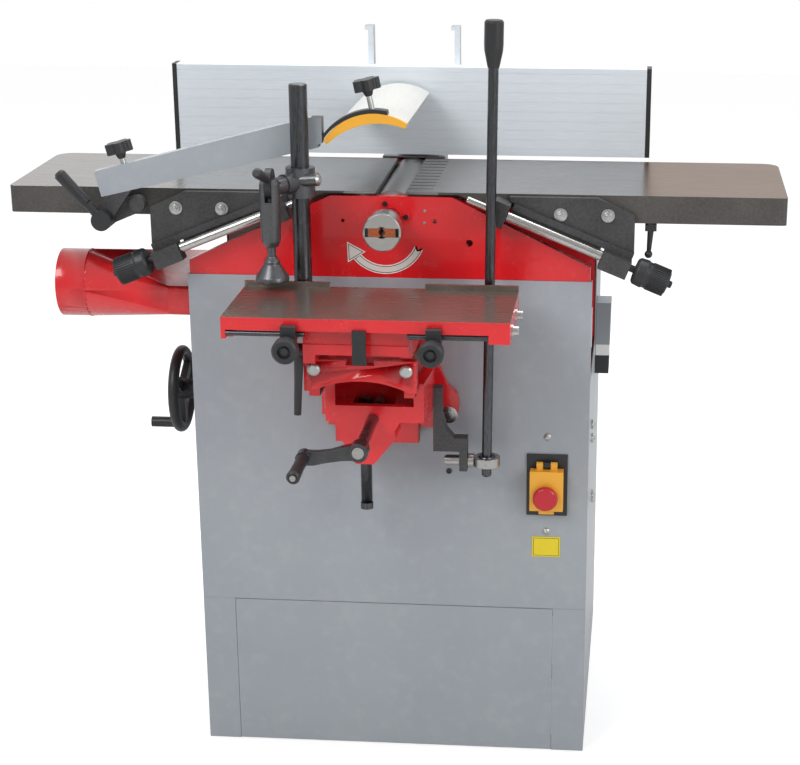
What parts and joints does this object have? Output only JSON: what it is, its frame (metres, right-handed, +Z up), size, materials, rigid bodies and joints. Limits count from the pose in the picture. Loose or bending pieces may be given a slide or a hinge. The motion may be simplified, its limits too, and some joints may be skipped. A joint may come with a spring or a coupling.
{
  "type": "combination planer thicknesser",
  "caption": "Planer thicknesser on a sheet steel stand, with inclined planing tables, fence, bridge guard, dust spigot and a front slot mortising table with hold-down and control lever",
  "frame": {"origin": "on the floor under the centre of the sheet steel stand's footprint", "axes": "+X runs along the planing tables towards the infeed end, -Y faces the operator and the mortising table, +Z is up"},
  "size_m": [1.085, 0.94, 1.0901],
  "materials": {
    "grey_paint": "satin",
    "red_paint": "gloss",
    "machined": "satin",
    "cast_iron": "matte",
    "steel": "satin",
    "chrome": "polished",
    "dark_steel": "satin",
    "aluminium": "satin",
    "black_plastic": "matte",
    "black_paint": "satin",
    "rubber": "matte",
    "yellow_plastic": "gloss",
    "red_plastic": "gloss",
    "zinc": "satin"
  },
  "bodies": {
    "stand": {"base_plinth": "grey_paint", "plinth_front_panel": "grey_paint", "cabinet_shell": "grey_paint", "rear_cover": "grey_paint", "side_box": "grey_paint", "front_wall": "red_paint", "rear_wall": "red_paint", "way_bars": "steel", "dust_hood": "red_paint", "motor": "cast_iron", "drive_belt": "rubber", "switch_plate": "black_plastic", "cabinet_screws": "zinc", "thickness_column": "cast_iron", "mortiser_bracket": "red_paint", "fence_guide": "cast_iron"},
    "infeed": {"infeed_table": "machined", "infeed_brackets": "cast_iron"},
    "infeed_screw": {"infeed_adjuster": "steel"},
    "infeed_lock": {"infeed_lock_lever": "black_plastic"},
    "outfeed": {"outfeed_table": "machined", "outfeed_brackets": "cast_iron", "guard_bracket": "cast_iron"},
    "outfeed_screw": {"outfeed_adjuster": "steel"},
    "guard_holder": {"guard_arm": "grey_paint"},
    "guard_holder_knob": {"arm_knob": "black_plastic"},
    "guard_holder_lever": {"guard_lever": "black_plastic"},
    "guard": {"bridge_guard": "aluminium"},
    "guard_clamp_knob": {"guard_knob": "black_plastic"},
    "cutter": {"cutterblock": "steel", "chuck_body": "steel"},
    "jaw_left": {"chuck_jaw_left": "steel"},
    "jaw_right": {"chuck_jaw_right": "steel"},
    "motor_rotor": {"motor_pulley": "cast_iron"},
    "roller_in": {"feed_roller_in": "steel"},
    "roller_out": {"feed_roller_out": "rubber"},
    "bed": {"thickness_table": "machined"},
    "bevel_nut": {"rise_gear": "cast_iron"},
    "height_wheel": {"handwheel": "black_plastic"},
    "knee_body": {"knee": "red_paint", "knee_slide_rods": "red_paint"},
    "knee_screw": {"lift_screw": "steel"},
    "knee_crank": {"crank": "black_paint"},
    "knee_crank_grip": {"crank_grip": "black_plastic"},
    "saddle_body": {"saddle": "red_paint"},
    "saddle_lock": {"saddle_clamp_lever": "black_plastic"},
    "mortising_table": {"mortiser_table": "machined", "table_stops": "black_plastic"},
    "post": {"holddown_post": "dark_steel"},
    "knuckle": {"clamp_knuckle": "cast_iron"},
    "fork": {"clamp_fork": "cast_iron"},
    "cam": {"cam_lever": "black_plastic"},
    "foot": {"clamp_foot": "cast_iron"},
    "lever_joint": {"rod_end": "steel"},
    "lever": {"control_lever": "dark_steel"},
    "fence_body": {"fence": "aluminium"},
    "fence_slide_bar": {"fence_arm": "steel"},
    "fence_lock": {"fence_clamp_lever": "black_plastic"},
    "switch_cover": {"switch_flap": "yellow_plastic"},
    "stop_button": {"stop_mushroom": "red_plastic"}
  },
  "joints": [
    {"name": "infeed_incline", "type": "slide", "parent": "stand", "child": "infeed", "axis": [0.9272, 0, -0.3746], "range_m": [0, 0.008]},
    {"name": "infeed_screw_turn", "type": "hinge", "parent": "infeed", "child": "infeed_screw", "pos_m": [0.15541, -0.298, 0.82868], "axis": [0.9272, 0, -0.3746], "range_deg": [-1445, 5]},
    {"name": "infeed_lock_turn", "type": "hinge", "parent": "infeed", "child": "infeed_lock", "pos_m": [0.365, -0.26, 0.805], "axis": [0, 1, 0], "range_deg": [-60, 60]},
    {"name": "outfeed_incline", "type": "slide", "parent": "stand", "child": "outfeed", "axis": [-0.9272, 0, -0.3746], "range_m": [0, 0.008]},
    {"name": "outfeed_screw_turn", "type": "hinge", "parent": "outfeed", "child": "outfeed_screw", "pos_m": [-0.14541, -0.298, 0.82868], "axis": [-0.9272, 0, -0.3746], "range_deg": [-1445, 5]},
    {"name": "guard_arm_tilt", "type": "hinge", "parent": "outfeed", "child": "guard_holder", "pos_m": [-0.394, -0.303, 0.811], "axis": [0, 1, 0], "range_deg": [-10, 5]},
    {"name": "arm_knob_turn", "type": "hinge", "parent": "guard_holder", "child": "guard_holder_knob", "pos_m": [-0.35925, -0.294, 0.86916], "axis": [-0.2419, 0, 0.9703], "continuous": true},
    {"name": "guard_lever_turn", "type": "hinge", "parent": "guard_holder", "child": "guard_holder_lever", "pos_m": [-0.394, -0.303, 0.811], "axis": [0, 1, 0], "range_deg": [-30, 25]},
    {"name": "guard_slide", "type": "slide", "parent": "guard_holder", "child": "guard", "axis": [0, 1, 0], "range_m": [-0.2, 0]},
    {"name": "guard_knob_turn", "type": "hinge", "parent": "guard_holder", "child": "guard_clamp_knob", "pos_m": [-0.01561, -0.294, 0.96286], "axis": [-0.2079, 0, 0.9781], "continuous": true},
    {"name": "cutter_spin", "type": "hinge", "parent": "stand", "child": "cutter", "pos_m": [0.005, -0.133, 0.814], "axis": [0, 1, 0], "continuous": true},
    {"name": "motor_spin", "type": "hinge", "parent": "stand", "child": "motor_rotor", "pos_m": [0.005, 0.014, 0.52], "axis": [0, 1, 0], "continuous": true},
    {"name": "jaw_left_slide", "type": "slide", "parent": "cutter", "child": "jaw_left", "axis": [-1, 0, 0], "range_m": [0, 0.004]},
    {"name": "jaw_right_slide", "type": "slide", "parent": "cutter", "child": "jaw_right", "axis": [1, 0, 0], "range_m": [0, 0.004]},
    {"name": "roller_in_spin", "type": "hinge", "parent": "stand", "child": "roller_in", "pos_m": [0.063, -0.133, 0.793], "axis": [0, 1, 0], "continuous": true},
    {"name": "roller_out_spin", "type": "hinge", "parent": "stand", "child": "roller_out", "pos_m": [-0.053, -0.133, 0.793], "axis": [0, 1, 0], "continuous": true},
    {"name": "bed_rise", "type": "slide", "parent": "stand", "child": "bed", "axis": [0, 0, 1], "range_m": [-0.065, 0]},
    {"name": "bevel_nut_turn", "type": "hinge", "parent": "stand", "child": "bevel_nut", "pos_m": [0.005, -0.133, 0.514], "axis": [0, 0, 1], "range_deg": [-5855, 5]},
    {"name": "handwheel_turn", "type": "hinge", "parent": "stand", "child": "height_wheel", "pos_m": [-0.337, -0.133, 0.514], "axis": [1, 0, 0], "range_deg": [-5855, 5]},
    {"name": "knee_rise", "type": "slide", "parent": "stand", "child": "knee_body", "axis": [0, 0, 1], "range_m": [-0.006, 0.03]},
    {"name": "knee_screw_turn", "type": "hinge", "parent": "knee_body", "child": "knee_screw", "pos_m": [-0.0275, -0.334, 0.405], "axis": [0, 0, 1], "range_deg": [-545, 2705]},
    {"name": "crank_turn", "type": "hinge", "parent": "knee_body", "child": "knee_crank", "pos_m": [-0.0075, -0.548, 0.56], "axis": [0, 1, 0], "range_deg": [-545, 2705]},
    {"name": "crank_grip_spin", "type": "hinge", "parent": "knee_crank", "child": "knee_crank_grip", "pos_m": [-0.08078, -0.548, 0.5497], "axis": [0, 1, 0], "continuous": true},
    {"name": "saddle_slide", "type": "slide", "parent": "knee_body", "child": "saddle_body", "axis": [0, 1, 0], "range_m": [-0.06, 0]},
    {"name": "saddle_lock_turn", "type": "hinge", "parent": "saddle_body", "child": "saddle_lock", "pos_m": [-0.086, -0.47, 0.676], "axis": [1, 0, 0], "range_deg": [-40, 5]},
    {"name": "table_slide", "type": "slide", "parent": "saddle_body", "child": "mortising_table", "axis": [1, 0, 0], "range_m": [-0.05, 0.05]},
    {"name": "post_slide", "type": "slide", "parent": "mortising_table", "child": "post", "axis": [0, 0, 1], "range_m": [0, 0.03]},
    {"name": "knuckle_swivel", "type": "hinge", "parent": "post", "child": "knuckle", "pos_m": [-0.112, -0.324, 0.852], "axis": [0, 0, 1], "range_deg": [-20, 35]},
    {"name": "fork_tilt", "type": "hinge", "parent": "knuckle", "child": "fork", "pos_m": [-0.112, -0.324, 0.872], "axis": [-0.5861, -0.8102, 0], "range_deg": [-25, 5]},
    {"name": "cam_turn", "type": "hinge", "parent": "fork", "child": "cam", "pos_m": [-0.146, -0.371, 0.878], "axis": [1, 0, 0], "range_deg": [-0.5, 55.5]},
    {"name": "foot_press", "type": "slide", "parent": "fork", "child": "foot", "axis": [0, 0, -1], "range_m": [0, 0.007]},
    {"name": "rod_end_swivel", "type": "hinge", "parent": "knee_body", "child": "lever_joint", "pos_m": [0.143, -0.322, 0.477], "axis": [1, 0, 0], "range_deg": [-1, 16]},
    {"name": "lever_swing", "type": "hinge", "parent": "lever_joint", "child": "lever", "pos_m": [0.143, -0.322, 0.477], "axis": [0, 1, 0], "range_deg": [-13, 13]},
    {"name": "fence_slide", "type": "slide", "parent": "stand", "child": "fence_slide_bar", "axis": [0, 1, 0], "range_m": [-0.2, 0]},
    {"name": "fence_tilt", "type": "hinge", "parent": "fence_slide_bar", "child": "fence_body", "pos_m": [0.005, 0.032, 0.88], "axis": [1, 0, 0], "range_deg": [-45, 0]},
    {"name": "fence_lock_turn", "type": "hinge", "parent": "stand", "child": "fence_lock", "pos_m": [0.005, 0.105, 0.869], "axis": [0, 0, 1], "range_deg": [-60, 60]},
    {"name": "cover_lift", "type": "hinge", "parent": "stand", "child": "switch_cover", "pos_m": [0.2268, -0.283, 0.46], "axis": [1, 0, 0], "range_deg": [-80, 0]},
    {"name": "stop_press", "type": "slide", "parent": "switch_cover", "child": "stop_button", "axis": [0, 1, 0], "range_m": [0, 0.004], "stiffness_N_per_m": 250}
  ],
  "couplings": [
    {"joint": "infeed_screw_turn", "follows": "infeed_incline", "rad_per_m": -3141.6},
    {"joint": "outfeed_screw_turn", "follows": "outfeed_incline", "rad_per_m": -3141.6},
    {"joint": "motor_spin", "follows": "cutter_spin", "ratio": 0.76471},
    {"joint": "jaw_right_slide", "follows": "jaw_left_slide", "ratio": 1},
    {"joint": "roller_out_spin", "follows": "roller_in_spin", "ratio": 1},
    {"joint": "handwheel_turn", "follows": "bed_rise", "rad_per_m": 1570.8},
    {"joint": "bevel_nut_turn", "follows": "bed_rise", "rad_per_m": 1570.8},
    {"joint": "crank_turn", "follows": "knee_rise", "rad_per_m": 1570.8},
    {"joint": "knee_screw_turn", "follows": "knee_rise", "rad_per_m": 1570.8},
    {"joint": "cam_turn", "follows": "foot_press", "rad_per_m": 137.13},
    {"joint": "lever_swing", "follows": "table_slide", "rad_per_m": 4.2017},
    {"joint": "rod_end_swivel", "follows": "saddle_slide", "rad_per_m": -4.2017},
    {"joint": "guard_slide", "follows": "fence_slide", "ratio": 1}
  ]
}
